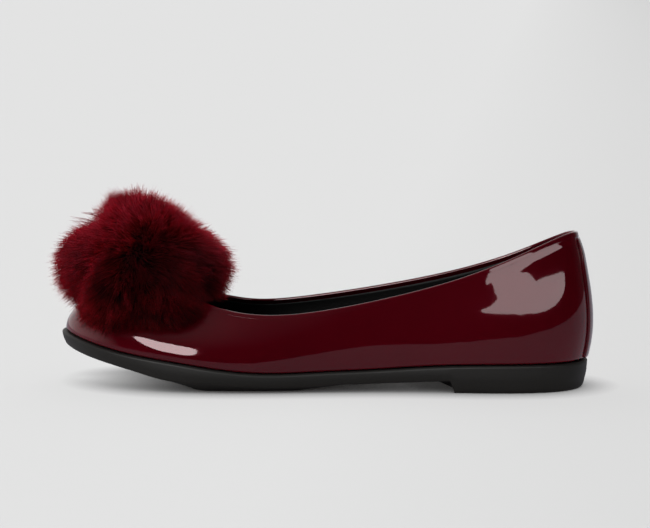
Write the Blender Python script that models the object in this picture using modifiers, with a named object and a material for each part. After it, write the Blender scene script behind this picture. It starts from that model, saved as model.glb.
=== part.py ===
"""Ballet flat: a patent leather upper on a low moulded rubber sole, with a fur pompom on the vamp.

A left shoe of EU size 38. Sizes are in metres, +Z is up and the floor is at z = 0.
The toe points along -X and the outer (lateral) side of the foot faces -Y.
"""

import math
from collections import namedtuple

import bmesh
import bpy
import numpy as np
from mathutils import Vector

OBJECT_NAME = "ballet_flat"

# Driving sizes of the last
SHOE_LENGTH = 0.250
BALL_WIDTH = 0.0770
BACK_HEIGHT = 0.0703
HEEL_HEIGHT = 0.0134

# Thicknesses and the clearance between neighbouring pieces
WALL = 0.0018
PIECE_GAP = 0.0003
INSOLE_THICKNESS = 0.0022
INSOLE_CLEARANCE = 0.0005
BINDING_RADIUS = 0.0010

# How finely the curved pieces are divided, and how densely the seat line is sampled to measure it
RIBS_AROUND = 96
ROWS_UP_WALL = 9
SEAT_SAMPLES = 4001

# Step for measuring directions on the wall, pull that keeps an upright rib's inward direction clear, and
# distance within which points are joined
SMALL_STEP = 1e-4
INWARD_PULL = 0.004
WELD = 1e-6

# One rib of the upper runs from the sole edge (the seat) up to the topline.
# Along: share of the shoe length from the heel. Out: share of half the ball width from the centre line.
# Height: share of the back height. Leans are degrees from upright, outward at the foot and inward at
# the top. Pulls say how far each lean is held, as a share of the straight rib.
Rib = namedtuple("Rib", "seat_along seat_out top_along top_out top_height "
                        "foot_lean top_lean foot_pull top_pull")

HEEL_BACK = Rib(0.013, 0.00, 0.026, 0.00, 1.000, 16, 9, 0.36, 0.36)
TOE_TIP = Rib(0.993, -0.08, 0.768, -0.02, 0.612, -4, 77, 0.31, 0.50)

LATERAL_RIBS = [
    Rib(0.043, 0.46, 0.050, 0.34, 0.995, 14, 9, 0.36, 0.36),
    Rib(0.112, 0.68, 0.122, 0.53, 0.890, 9, 10, 0.36, 0.36),
    Rib(0.250, 0.74, 0.250, 0.61, 0.711, 9, 12, 0.36, 0.36),
    Rib(0.400, 0.77, 0.400, 0.68, 0.570, 6, 16, 0.36, 0.36),
    Rib(0.552, 0.90, 0.545, 0.76, 0.486, 4, 26, 0.36, 0.36),
    Rib(0.688, 1.00, 0.644, 0.75, 0.490, 3, 38, 0.36, 0.36),
    Rib(0.820, 0.93, 0.712, 0.57, 0.539, 3, 54, 0.36, 0.40),
    Rib(0.940, 0.56, 0.756, 0.28, 0.594, 0, 70, 0.32, 0.46),
]

MEDIAL_RIBS = [
    Rib(0.043, 0.46, 0.050, 0.34, 0.975, 15, 9, 0.36, 0.36),
    Rib(0.112, 0.66, 0.122, 0.51, 0.865, 13, 10, 0.36, 0.36),
    Rib(0.250, 0.65, 0.250, 0.58, 0.709, 14, 12, 0.36, 0.36),
    Rib(0.400, 0.60, 0.400, 0.63, 0.590, 16, 14, 0.36, 0.36),
    Rib(0.552, 0.72, 0.545, 0.70, 0.507, 10, 24, 0.36, 0.36),
    Rib(0.688, 0.94, 0.644, 0.71, 0.486, 4, 38, 0.36, 0.36),
    Rib(0.820, 0.97, 0.712, 0.55, 0.537, 3, 54, 0.36, 0.40),
    Rib(0.940, 0.66, 0.756, 0.27, 0.594, 0, 70, 0.32, 0.46),
]

# Wave of the last's bottom, seen from the side. Height is the seat's, as a share of the heel height.
Wave = namedtuple("Wave", "along height")
SEAT_WAVE = [
    Wave(0.00, 1.00), Wave(0.19, 1.00), Wave(0.30, 0.93), Wave(0.40, 0.81), Wave(0.50, 0.735),
    Wave(0.60, 0.69), Wave(0.69, 0.84), Wave(0.77, 1.06), Wave(0.86, 1.30), Wave(0.93, 1.55),
    Wave(1.00, 1.81),
]

# Moulded sole. Ledge: how far the rim stands out past the upper. Edge: height of the side wall's lower
# edge. Tuck: how far that edge lies inside the rim.
Sole = namedtuple("Sole", "along ledge edge tuck")
SOLE_SECTIONS = [
    Sole(0.24, 0.0010, 0.0063, 0.0008),
    Sole(0.40, 0.0010, 0.0047, 0.0008),
    Sole(0.48, 0.0010, 0.0038, 0.0008),
    Sole(0.62, 0.0010, 0.0033, 0.0008),
    Sole(0.70, 0.0010, 0.0045, 0.0008),
    Sole(0.78, 0.0010, 0.0056, 0.0009),
    Sole(0.85, 0.0012, 0.0098, 0.0011),
    Sole(0.93, 0.0015, 0.0141, 0.0014),
    Sole(1.00, 0.0018, 0.0178, 0.0018),
]
SOLE_RIM_ROUND = 0.0008
HEEL_EDGE = 0.0009
HEEL_TUCK = 0.0019

# Stretches of the underside from heel to toe, as shares of the length on each side. Rise: height of the
# underside over the floor, which stays below the side wall's lower edge. Inset: how far the underside lies
# inside the rim. Both change evenly along a stretch, and the gap between two stretches is a slope.
Stretch = namedtuple("Stretch", "name columns lateral_from lateral_to medial_from medial_to "
                                "rise_from rise_to inset_from inset_to")
STRETCHES = [
    Stretch("heel", 16, 0.000, 0.252, 0.000, 0.300, 0.0, 0.0, 0.0030, 0.0030),
    Stretch("waist", 7, 0.260, 0.438, 0.308, 0.458, 0.0100, 0.0100, 0.0026, 0.0026),
    Stretch("arch", 4, 0.456, 0.530, 0.476, 0.550, 0.0031, 0.0004, 0.0036, 0.0078),
    Stretch("ball", 8, 0.546, 0.706, 0.566, 0.716, 0.0, 0.0, 0.0085, 0.0085),
    Stretch("bend", 2, 0.722, 0.738, 0.732, 0.748, 0.0004, 0.0013, 0.0084, 0.0080),
    Stretch("roll", 6, 0.754, 0.848, 0.764, 0.858, 0.0027, 0.0095, 0.0076, 0.0036),
    Stretch("toe", 8, 0.864, 1.000, 0.874, 1.000, 0.0300, 0.0300, 0.0030, 0.0030),
]
UNDERSIDE_ROUND = 0.0007

# Leather strip over the heel seam; its width is taken along the seat and narrows with the ribs above
STRIP_WIDTH = 0.016
STRIP_THICKNESS = 0.0008
STRIP_FOOT = 0.02
STRIP_TOP = 0.970
STRIP_COLUMNS = 6
STRIP_ROWS = 10

# Fur ball on the vamp: round lobes placed from its centre, with locks drawn out of its surface
POMPOM_ALONG = 0.846
POMPOM_ACROSS = 0.001
POMPOM_HEIGHT = 0.0557
Lobe = namedtuple("Lobe", "along across up radius")
POMPOM_LOBES = [
    Lobe(0.000, 0.000, 0.000, 0.0325),
    Lobe(-0.0215, 0.000, -0.001, 0.0205),
    Lobe(0.0225, 0.000, -0.003, 0.0205),
    Lobe(-0.006, 0.000, 0.0150, 0.0195),
    Lobe(0.014, -0.018, -0.0165, 0.0200),
    Lobe(-0.009, -0.020, -0.0140, 0.0185),
    Lobe(0.014, 0.018, -0.0165, 0.0200),
    Lobe(-0.009, 0.020, -0.0140, 0.0185),
]
LOBE_BLEND = 0.0022

# Partings where the fur of two lobes falls apart: a direction from the centre, a depth and a width in radians
Parting = namedtuple("Parting", "along across up depth width")
POMPOM_PARTINGS = [
    Parting(-0.715, -0.10, 0.69, 0.0085, 0.22),
    Parting(0.80, -0.10, 0.60, 0.0015, 0.20),
]
BALL_DIVISIONS = 3

# Locks: heights over the ball's surface of root, waist and tip, then how much a lock narrows at its waist,
# how far its tip hangs and how much its length varies. Facets that look further down than the lowest
# upward share have none, because they lie on the leather.
LOCK_ROOT = -0.0055
LOCK_WAIST = 0.0005
LOCK_TIP = 0.0045
LOCK_TAPER = 0.62
LOCK_DROOP = 0.18
LOCK_VARIATION = 0.35
LOCK_LOWEST = -0.6
LOCK_SEED = 7

# Colour of each material as seen in daylight, with its roughness
Finish = namedtuple("Finish", "material colour roughness")
FINISHES = {
    "outsole": Finish("black rubber", "#262624", 0.55),
    "insole": Finish("black lining leather", "#141214", 0.60),
    "upper": Finish("burgundy patent leather", "#4A0A14", 0.10),
    "topline_binding": Finish("burgundy patent binding", "#4A0A14", 0.14),
    "back_strip": Finish("burgundy patent strip", "#430912", 0.12),
    "pompom": Finish("burgundy fur", "#480C16", 0.90),
}
CREASE_ANGLE = 35


def spline_through(knots, rows):
    """Return a curve with smooth bending that passes through the rows at their knots."""
    knots = np.asarray(knots, dtype=float)
    rows = np.asarray(rows, dtype=float)
    steps = np.diff(knots)
    slopes = np.diff(rows, axis=0) / steps[:, None]
    system = np.eye(len(knots))
    change = np.zeros_like(rows)
    for i in range(1, len(knots) - 1):
        system[i, i - 1:i + 2] = steps[i - 1], 2 * (steps[i - 1] + steps[i]), steps[i]
        change[i] = 6 * (slopes[i] - slopes[i - 1])
    bends = np.linalg.solve(system, change)

    def at(where):
        where = np.asarray(where, dtype=float)
        i = np.clip(np.searchsorted(knots, where, side="right") - 1, 0, len(steps) - 1)
        step = steps[i][..., None]
        before = (knots[i + 1] - where)[..., None] / step
        after = 1 - before
        bend = (before ** 3 - before) * bends[i] + (after ** 3 - after) * bends[i + 1]
        return before * rows[i] + after * rows[i + 1] + bend * step ** 2 / 6

    return at


def rib_values(rib, side):
    """Turn a rib's shares into metres and radians; side is -1 lateral, +1 medial."""
    half_ball = BALL_WIDTH / 2
    return [
        SHOE_LENGTH * (0.5 - rib.seat_along),
        side * half_ball * rib.seat_out,
        SHOE_LENGTH * (0.5 - rib.top_along),
        side * half_ball * rib.top_out,
        BACK_HEIGHT * rib.top_height,
        math.radians(rib.foot_lean),
        math.radians(rib.top_lean),
        rib.foot_pull,
        rib.top_pull,
    ]


def rib_loop():
    """Return the closed curve of ribs: 0 at the heel back, lateral to 0.5 at the toe, medial to 1."""
    lateral = np.array([rib_values(rib, -1) for rib in [HEEL_BACK] + LATERAL_RIBS + [TOE_TIP]])
    medial = np.array([rib_values(rib, 1) for rib in [HEEL_BACK] + MEDIAL_RIBS + [TOE_TIP]])
    medial[0] = lateral[0]
    medial[-1] = lateral[-1]
    length_lateral = np.linalg.norm(np.diff(lateral[:, :2], axis=0), axis=1)
    length_medial = np.linalg.norm(np.diff(medial[:, :2], axis=0), axis=1)
    reach = np.concatenate([[0], np.cumsum(length_lateral + length_medial)])
    half = 0.5 * reach / reach[-1]
    knots = np.concatenate([half, 1 - half[-2:0:-1]])
    rows = np.concatenate([lateral, medial[-2:0:-1]])
    laps = [lap + knots for lap in (-1, 0, 1)]
    closed = spline_through(np.concatenate(laps), np.concatenate([rows, rows, rows]))
    return lambda around: closed(np.mod(around, 1.0))


RIB_AT = rib_loop()
SEAT_HEIGHT = spline_through([row.along for row in SEAT_WAVE], [[row.height] for row in SEAT_WAVE])
SOLE_AT = spline_through([row.along for row in SOLE_SECTIONS], [list(row[1:]) for row in SOLE_SECTIONS])


def along_of(x):
    """Share of the shoe length from the heel at a place x."""
    return 0.5 - x / SHOE_LENGTH


def seat_height(x):
    """Height of the upper's lower edge above the floor at a place x."""
    return HEEL_HEIGHT * SEAT_HEIGHT(along_of(x))[..., 0]


def unit(vectors):
    """Scale vectors to length one."""
    return vectors / np.linalg.norm(vectors, axis=-1, keepdims=True)


def seat_outward(around):
    """Level direction out of the shoe, square to the seat line."""
    run = (RIB_AT(around + SMALL_STEP) - RIB_AT(around - SMALL_STEP))[..., :2]
    flat = np.zeros_like(run[..., 0])
    return unit(np.stack([-run[..., 1], run[..., 0], flat], axis=-1))


def wall_face(around, up):
    """Point on the upper's outer face: around the shoe, and up from the seat (0) to the topline (1)."""
    around, up = np.broadcast_arrays(np.asarray(around, dtype=float), np.asarray(up, dtype=float))
    rib = RIB_AT(around)
    seat = np.stack([rib[..., 0], rib[..., 1], seat_height(rib[..., 0])], axis=-1)
    top = rib[..., 2:5]
    reach = np.linalg.norm(top - seat, axis=-1, keepdims=True)
    upright = np.array([0.0, 0.0, 1.0])
    outward = seat_outward(around)
    inward = top - seat
    inward[..., 2] = 0
    inward = unit(inward - INWARD_PULL * outward)
    foot_lean = rib[..., 5:6]
    top_lean = rib[..., 6:7]
    foot_hold = seat + rib[..., 7:8] * reach * (np.cos(foot_lean) * upright + np.sin(foot_lean) * outward)
    top_hold = top - rib[..., 8:9] * reach * (np.cos(top_lean) * upright + np.sin(top_lean) * inward)
    u = up[..., None]
    return ((1 - u) ** 3 * seat + 3 * (1 - u) ** 2 * u * foot_hold
            + 3 * (1 - u) * u ** 2 * top_hold + u ** 3 * top)


def wall_directions(around, up):
    """Unit directions at a place on the wall: up along the rib, and straight out of the leather."""
    low = np.clip(np.asarray(up, dtype=float) - SMALL_STEP, 0, 1)
    high = np.clip(np.asarray(up, dtype=float) + SMALL_STEP, 0, 1)
    rise = unit(wall_face(around, high) - wall_face(around, low))
    run = wall_face(around + SMALL_STEP, up) - wall_face(around - SMALL_STEP, up)
    return rise, unit(np.cross(rise, run))


def wall_point(around, up, offset=0.0):
    """Point on the outer face, moved out of the leather by an offset."""
    rise, out = wall_directions(around, up)
    return wall_face(around, up) + offset * out


def mapped_grid(name, columns, rows, point_at):
    """Bend a flat grid into a surface; point_at takes column and row numbers and gives points.

    Columns run from the heel along the lateral side, rows run downward, so faces look outward.
    """
    bm = bmesh.new()
    bmesh.ops.create_grid(bm, x_segments=columns, y_segments=rows, size=0.5)
    flat = np.array([vert.co for vert in bm.verts])
    column = np.rint((flat[:, 0] + 0.5) * columns).astype(int)
    row = np.rint((flat[:, 1] + 0.5) * rows).astype(int)
    for vert, place in zip(bm.verts, point_at(column, row)):
        vert.co = place
    bmesh.ops.remove_doubles(bm, verts=bm.verts[:], dist=WELD)
    bmesh.ops.dissolve_degenerate(bm, edges=bm.edges[:], dist=WELD)
    mesh = bpy.data.meshes.new(name)
    bm.to_mesh(mesh)
    bm.free()
    return bpy.data.objects.new(name, mesh)


def thicken(surface, thickness, side):
    """Give an open surface a wall; side is -1 inward or 1 outward."""
    wall = surface.modifiers.new("leather wall", "SOLIDIFY")
    wall.thickness = thickness
    wall.offset = side
    wall.use_even_offset = True


def make_upper():
    """Hollow leather shell from the seat to the topline."""
    def place(column, row):
        return wall_point(column / RIBS_AROUND, 1 - row / ROWS_UP_WALL)
    shell = mapped_grid("upper", RIBS_AROUND, ROWS_UP_WALL, place)
    thicken(shell, WALL, -1)
    return shell


def make_back_strip():
    """Strip that covers the heel seam, cut from the upper's own face."""
    around = np.linspace(0, 1, SEAT_SAMPLES)
    seat_length = np.linalg.norm(np.diff(RIB_AT(around)[:, :2], axis=0), axis=1).sum()
    share = STRIP_WIDTH / seat_length

    def place(column, row):
        up = STRIP_TOP + (STRIP_FOOT - STRIP_TOP) * row / STRIP_ROWS
        return wall_point((column / STRIP_COLUMNS - 0.5) * share, up, PIECE_GAP)
    strip = mapped_grid("back_strip", STRIP_COLUMNS, STRIP_ROWS, place)
    thicken(strip, STRIP_THICKNESS, 1)
    return strip


def make_topline_binding():
    """Rolled leather edge that follows the whole topline."""
    around = np.arange(RIBS_AROUND) / RIBS_AROUND
    rise, out = wall_directions(around, 1.0)
    path = wall_point(around, 1.0, -WALL / 2) + rise * (BINDING_RADIUS + PIECE_GAP)
    curve = bpy.data.curves.new("topline_binding", "CURVE")
    curve.dimensions = "3D"
    curve.bevel_depth = BINDING_RADIUS
    curve.bevel_resolution = 1
    spline = curve.splines.new("POLY")
    spline.points.add(RIBS_AROUND - 1)
    spline.points.foreach_set("co", np.column_stack([path, np.ones(RIBS_AROUND)]).ravel())
    spline.use_cyclic_u = True
    return bpy.data.objects.new("topline_binding", curve)


def side_places(side):
    """Places along one side of the sole from heel to toe, each with its rise, its inset and 1 on the heel."""
    dense = np.linspace(0, 0.5, SEAT_SAMPLES)
    along = along_of(RIB_AT(side * dense)[:, 0])
    columns = []
    for stretch in STRETCHES:
        limits = stretch[2:4] if side > 0 else stretch[4:6]
        first, last = np.interp(limits, along, dense)
        count = stretch.columns + 1
        columns.append(np.column_stack([
            np.linspace(first, last, count),
            np.linspace(stretch.rise_from, stretch.rise_to, count),
            np.linspace(stretch.inset_from, stretch.inset_to, count),
            np.full(count, stretch.name == "heel"),
        ]))
    columns = np.concatenate(columns)
    columns[0, 0] = 0.0
    columns[-1, 0] = 0.5
    return columns


def sole_rings():
    """Outlines of the sole: rim top, rim, foot of the side wall and underside, a point for each column."""
    lateral = side_places(1)
    medial = side_places(-1)[-2:0:-1]
    medial[:, 0] = 1 - medial[:, 0]
    around, rise, inset, heel = np.concatenate([lateral, medial]).T
    seat = RIB_AT(around)[:, :2]
    outward = seat_outward(around)[:, :2]
    along = np.clip(along_of(seat[:, 0]), SOLE_SECTIONS[0].along, 1)
    ledge, edge, tuck = SOLE_AT(along).T
    edge = np.where(heel, HEEL_EDGE, edge)
    tuck = np.where(heel, HEEL_TUCK, tuck)
    underside = np.minimum(rise, edge - UNDERSIDE_ROUND)
    top = seat_height(seat[:, 0]) - PIECE_GAP

    def ring(offset, height):
        return np.column_stack([seat + outward * offset[:, None], height])
    return [ring(ledge - SOLE_RIM_ROUND, top), ring(ledge, top - SOLE_RIM_ROUND),
            ring(ledge - tuck, edge), ring(ledge - inset, underside)]


def closed_by_middles(rings):
    """Add a first and a last ring that lie on the middle line, so that the rings close into a solid."""
    mirror = (-np.arange(len(rings[0]))) % len(rings[0])
    first = (rings[0] + rings[0][mirror]) / 2
    last = (rings[-1] + rings[-1][mirror]) / 2
    return np.stack([first] + rings + [last])


def ring_solid(name, rings):
    """Closed solid through outlines that run from the top down."""
    stack = closed_by_middles(rings)
    columns = stack.shape[1]

    def place(column, row):
        return stack[row, column % columns]
    return mapped_grid(name, columns, len(stack) - 1, place)


def make_outsole():
    """Moulded sole with rim, side wall, ball pad, lifted waist and toe, and a low heel with its breast."""
    return ring_solid("outsole", sole_rings())


def make_insole():
    """Sock board that lies on the sole inside the upper."""
    around = np.arange(RIBS_AROUND) / RIBS_AROUND
    seat = RIB_AT(around)[:, :2]
    inside = seat - seat_outward(around)[:, :2] * (WALL + INSOLE_CLEARANCE)
    low = seat_height(inside[:, 0])
    under = np.column_stack([inside, low])
    over = np.column_stack([inside, low + INSOLE_THICKNESS])
    return ring_solid("insole", [over, under])


def make_vamp_form():
    """Filled form of the upper and its binding, a little larger, to shape what lies on the vamp."""
    around = np.arange(RIBS_AROUND) / RIBS_AROUND
    offset = PIECE_GAP + BINDING_RADIUS - WALL / 2
    rise, out = wall_directions(around, 1.0)
    lid = wall_point(around, 1.0, offset) + rise * 2 * (BINDING_RADIUS + PIECE_GAP)
    rings = [wall_point(around, 1 - row / ROWS_UP_WALL, offset) for row in range(ROWS_UP_WALL + 1)]
    return ring_solid("vamp_form", [lid] + rings)


def pompom_reach(directions):
    """Distance from the pompom's centre to its surface, along unit directions."""
    exits = []
    for lobe in POMPOM_LOBES:
        centre = np.array(lobe[:3])
        ahead = directions @ centre
        inside = ahead ** 2 - centre @ centre + lobe.radius ** 2
        exits.append(ahead + np.sqrt(np.maximum(inside, 0)))
    reach = LOBE_BLEND * np.log(np.exp(np.array(exits) / LOBE_BLEND).sum(axis=0))
    for parting in POMPOM_PARTINGS:
        away = np.arccos(np.clip(directions @ unit(np.array(parting[:3])), -1, 1))
        reach -= parting.depth * np.exp(-(away / parting.width) ** 2)
    return reach


def make_pompom(vamp_form):
    """Fur ball: a lobed ball with a lock drawn out of each facet that shows, cut to lie on the vamp."""
    centre = Vector((SHOE_LENGTH * (0.5 - POMPOM_ALONG), POMPOM_ACROSS, POMPOM_HEIGHT))
    chance = np.random.default_rng(LOCK_SEED)
    bm = bmesh.new()
    bmesh.ops.create_icosphere(bm, subdivisions=BALL_DIVISIONS, radius=1.0)
    furry = [face for face in bm.faces if face.normal.z > LOCK_LOWEST]
    facing = [face.calc_center_median().normalized() for face in furry]
    reach = pompom_reach(np.array(facing))
    ways = np.array([vert.co.normalized() for vert in bm.verts])
    for vert, way, length in zip(bm.verts, ways, pompom_reach(ways) + LOCK_ROOT):
        vert.co = centre + Vector(way) * length
    locks = bmesh.ops.extrude_discrete_faces(bm, faces=furry)["faces"]
    tips = bmesh.ops.poke(bm, faces=locks)["verts"]
    for tip, way, length, luck in zip(tips, facing, reach, chance.uniform(-1, 1, len(tips))):
        droop = Vector((0, 0, -LOCK_DROOP * (LOCK_TIP - LOCK_ROOT)))
        middle = centre + way * (length + LOCK_WAIST)
        for edge in tip.link_edges:
            corner = edge.other_vert(tip)
            spread = corner.co - centre
            spread -= way * spread.dot(way)
            corner.co = middle + spread * LOCK_TAPER + droop / 2
        tip.co = middle + way * (LOCK_TIP - LOCK_WAIST) * (1 + LOCK_VARIATION * luck) + droop
    mesh = bpy.data.meshes.new("pompom")
    bm.to_mesh(mesh)
    bm.free()
    pompom = bpy.data.objects.new("pompom", mesh)
    seat = pompom.modifiers.new("lies on the vamp", "BOOLEAN")
    seat.object = vamp_form
    seat.operation = "DIFFERENCE"
    seat.solver = "EXACT"
    return pompom


def linear(hex_colour):
    """Turn an sRGB hex colour into the linear values that shaders use."""
    shares = [int(hex_colour[i:i + 2], 16) / 255 for i in (1, 3, 5)]
    return [s / 12.92 if s <= 0.04045 else ((s + 0.055) / 1.055) ** 2.4 for s in shares]


def dress(piece):
    """Give a piece its material and smooth shading over gentle bends."""
    finish = FINISHES[piece.name]
    material = bpy.data.materials.new(finish.material)
    material.use_nodes = True
    shader = material.node_tree.nodes["Principled BSDF"]
    shader.inputs["Base Color"].default_value = linear(finish.colour) + [1.0]
    shader.inputs["Roughness"].default_value = finish.roughness
    shader.inputs["Metallic"].default_value = 0.0
    piece.data.materials.append(material)
    if piece.type == "MESH" and piece.name != "pompom":
        piece.data.shade_smooth()
        piece.data.set_sharp_from_angle(angle=math.radians(CREASE_ANGLE))


def middle_of(pieces):
    """Middle of the box around the finished pieces, level with the floor."""
    seen = bpy.context.evaluated_depsgraph_get()
    points = []
    for piece in pieces:
        finished = piece.evaluated_get(seen)
        points.extend(finished.matrix_world @ vert.co for vert in finished.to_mesh().vertices)
        finished.to_mesh_clear()
    middle = (np.min(points, axis=0) + np.max(points, axis=0)) / 2
    return Vector((middle[0], middle[1], 0))


def new_collection(name):
    """Add a collection to the scene."""
    collection = bpy.data.collections.new(name)
    bpy.context.scene.collection.children.link(collection)
    return collection


def main():
    """Clear the scene, build the pieces and stand the shoe on the floor, centred on the origin."""
    for old in list(bpy.data.objects):
        bpy.data.objects.remove(old, do_unlink=True)
    shoe = new_collection(OBJECT_NAME)
    cutters = new_collection("cutters")
    root = bpy.data.objects.new("shoe_root", None)
    shoe.objects.link(root)
    vamp_form = make_vamp_form()
    vamp_form.hide_render = True
    vamp_form.display_type = "WIRE"
    cutters.objects.link(vamp_form)
    vamp_form.parent = root
    pieces = [make_outsole(), make_insole(), make_upper(), make_topline_binding(), make_back_strip(),
              make_pompom(vamp_form)]
    for piece in pieces:
        dress(piece)
        piece.parent = root
        shoe.objects.link(piece)
    root.location = -middle_of(pieces)


main()
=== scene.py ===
# %% [markdown]
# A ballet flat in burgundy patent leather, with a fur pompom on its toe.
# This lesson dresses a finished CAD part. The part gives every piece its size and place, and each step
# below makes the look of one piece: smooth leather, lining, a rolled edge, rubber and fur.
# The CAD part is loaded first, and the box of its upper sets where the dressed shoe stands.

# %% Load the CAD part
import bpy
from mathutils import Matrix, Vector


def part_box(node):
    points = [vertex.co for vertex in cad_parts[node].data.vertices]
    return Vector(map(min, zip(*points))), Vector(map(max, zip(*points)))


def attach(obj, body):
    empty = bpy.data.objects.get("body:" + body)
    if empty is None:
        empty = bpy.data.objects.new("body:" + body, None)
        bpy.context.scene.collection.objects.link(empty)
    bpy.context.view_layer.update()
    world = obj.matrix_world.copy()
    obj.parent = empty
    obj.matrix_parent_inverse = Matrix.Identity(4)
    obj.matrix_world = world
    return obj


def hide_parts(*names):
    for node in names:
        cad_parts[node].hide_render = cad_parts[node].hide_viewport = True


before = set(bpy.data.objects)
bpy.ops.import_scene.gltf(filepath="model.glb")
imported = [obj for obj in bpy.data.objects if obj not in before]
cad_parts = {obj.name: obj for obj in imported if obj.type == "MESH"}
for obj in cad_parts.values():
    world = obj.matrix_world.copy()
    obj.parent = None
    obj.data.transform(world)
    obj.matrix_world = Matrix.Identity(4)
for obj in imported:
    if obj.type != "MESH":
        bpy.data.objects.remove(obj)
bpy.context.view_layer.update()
print("nodes:", sorted(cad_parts))

# %% Tools
import math
from collections import namedtuple

import bmesh
import bpy
import numpy as np
from mathutils import Vector
from mathutils.bvhtree import BVHTree

# %% [markdown]
# A shoe is shaped on a last, a foot-shaped block. Its form could be sculpted by eye, but a maker works from
# sections. One rib of the upper runs from the sole edge, the seat, up to the topline. A short table of ribs
# for each side, in shares of the length, the ball width and the back height, gives the whole wall.

# %% Sizes of the last
SHOE_LENGTH = 0.250
BALL_WIDTH = 0.0770
BACK_HEIGHT = 0.0703
HEEL_HEIGHT = 0.0134
WALL = 0.0018
PIECE_GAP = 0.0003

USUAL_PULL = 0.36
Rib = namedtuple("Rib", "seat_along seat_out top_along top_out top_height "
                        "foot_lean top_lean foot_pull top_pull", defaults=[USUAL_PULL, USUAL_PULL])
HEEL_BACK = Rib(0.013, 0.00, 0.026, 0.00, 1.000, 16, 9)
TOE_TIP = Rib(0.993, -0.08, 0.768, -0.02, 0.612, -4, 77, 0.31, 0.50)
LATERAL_RIBS = [
    Rib(0.043, 0.46, 0.050, 0.34, 0.995, 14, 9),
    Rib(0.112, 0.68, 0.122, 0.53, 0.890, 9, 10),
    Rib(0.250, 0.74, 0.250, 0.61, 0.711, 9, 12),
    Rib(0.400, 0.77, 0.400, 0.68, 0.570, 6, 16),
    Rib(0.552, 0.90, 0.545, 0.76, 0.486, 4, 26),
    Rib(0.688, 1.00, 0.644, 0.75, 0.490, 3, 38),
    Rib(0.820, 0.93, 0.712, 0.57, 0.539, 3, 54, 0.36, 0.40),
    Rib(0.940, 0.56, 0.756, 0.28, 0.594, 0, 70, 0.32, 0.46),
]
MEDIAL_RIBS = [
    Rib(0.043, 0.46, 0.050, 0.34, 0.975, 15, 9),
    Rib(0.112, 0.66, 0.122, 0.51, 0.865, 13, 10),
    Rib(0.250, 0.65, 0.250, 0.58, 0.709, 14, 12),
    Rib(0.400, 0.60, 0.400, 0.63, 0.590, 16, 14),
    Rib(0.552, 0.72, 0.545, 0.70, 0.507, 10, 24),
    Rib(0.688, 0.94, 0.644, 0.71, 0.486, 4, 38),
    Rib(0.820, 0.97, 0.712, 0.55, 0.537, 3, 54, 0.36, 0.40),
    Rib(0.940, 0.66, 0.756, 0.27, 0.594, 0, 70, 0.32, 0.46),
]
Wave = namedtuple("Wave", "along height")
SEAT_WAVE = [
    Wave(0.00, 1.00), Wave(0.19, 1.00), Wave(0.30, 0.93), Wave(0.40, 0.81), Wave(0.50, 0.735),
    Wave(0.60, 0.69), Wave(0.69, 0.84), Wave(0.77, 1.06), Wave(0.86, 1.30), Wave(0.93, 1.55),
    Wave(1.00, 1.81),
]
print("ribs on each side:", len(LATERAL_RIBS), len(MEDIAL_RIBS))


# %% [markdown]
# Between the rows of a table the form has to bend smoothly, because patent leather mirrors the studio and
# shows every kink. A cubic spline with a continuous bend does that, so it is solved here for all columns of
# a table at once.

# %% Smooth curves through table rows
def spline_through(knots, rows):
    """Return a curve with smooth bending that passes through the rows at their knots."""
    knots = np.asarray(knots, dtype=float)
    rows = np.asarray(rows, dtype=float)
    steps = np.diff(knots)
    slopes = np.diff(rows, axis=0) / steps[:, None]
    system = np.eye(len(knots))
    change = np.zeros_like(rows)
    for i in range(1, len(knots) - 1):
        system[i, i - 1:i + 2] = steps[i - 1], 2 * (steps[i - 1] + steps[i]), steps[i]
        change[i] = 6 * (slopes[i] - slopes[i - 1])
    bends = np.linalg.solve(system, change)

    def at(where):
        where = np.asarray(where, dtype=float)
        i = np.clip(np.searchsorted(knots, where, side="right") - 1, 0, len(steps) - 1)
        step = steps[i][..., None]
        before = (knots[i + 1] - where)[..., None] / step
        after = 1 - before
        bend = (before ** 3 - before) * bends[i] + (after ** 3 - after) * bends[i + 1]
        return before * rows[i] + after * rows[i + 1] + bend * step ** 2 / 6

    return at


SEAT_HEIGHT = spline_through([row.along for row in SEAT_WAVE], [[row.height] for row in SEAT_WAVE])
print("seat height at the toe in mm:", round(float(SEAT_HEIGHT(1.0)[0]) * HEEL_HEIGHT * 1000, 1))


# %% A closed loop of ribs
def rib_values(rib, side):
    """Turn a rib's shares into metres and radians; side is -1 lateral, +1 medial."""
    half_ball = BALL_WIDTH / 2
    return [
        SHOE_LENGTH * (0.5 - rib.seat_along),
        side * half_ball * rib.seat_out,
        SHOE_LENGTH * (0.5 - rib.top_along),
        side * half_ball * rib.top_out,
        BACK_HEIGHT * rib.top_height,
        math.radians(rib.foot_lean),
        math.radians(rib.top_lean),
        rib.foot_pull,
        rib.top_pull,
    ]


def rib_loop():
    """Return the closed curve of ribs: 0 at the heel back, lateral to 0.5 at the toe, medial to 1."""
    lateral = np.array([rib_values(rib, -1) for rib in [HEEL_BACK] + LATERAL_RIBS + [TOE_TIP]])
    medial = np.array([rib_values(rib, 1) for rib in [HEEL_BACK] + MEDIAL_RIBS + [TOE_TIP]])
    medial[0] = lateral[0]
    medial[-1] = lateral[-1]
    length_lateral = np.linalg.norm(np.diff(lateral[:, :2], axis=0), axis=1)
    length_medial = np.linalg.norm(np.diff(medial[:, :2], axis=0), axis=1)
    reach = np.concatenate([[0], np.cumsum(length_lateral + length_medial)])
    half = 0.5 * reach / reach[-1]
    knots = np.concatenate([half, 1 - half[-2:0:-1]])
    rows = np.concatenate([lateral, medial[-2:0:-1]])
    laps = [lap + knots for lap in (-1, 0, 1)]
    closed = spline_through(np.concatenate(laps), np.concatenate([rows, rows, rows]))
    return lambda around: closed(np.mod(around, 1.0))


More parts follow.
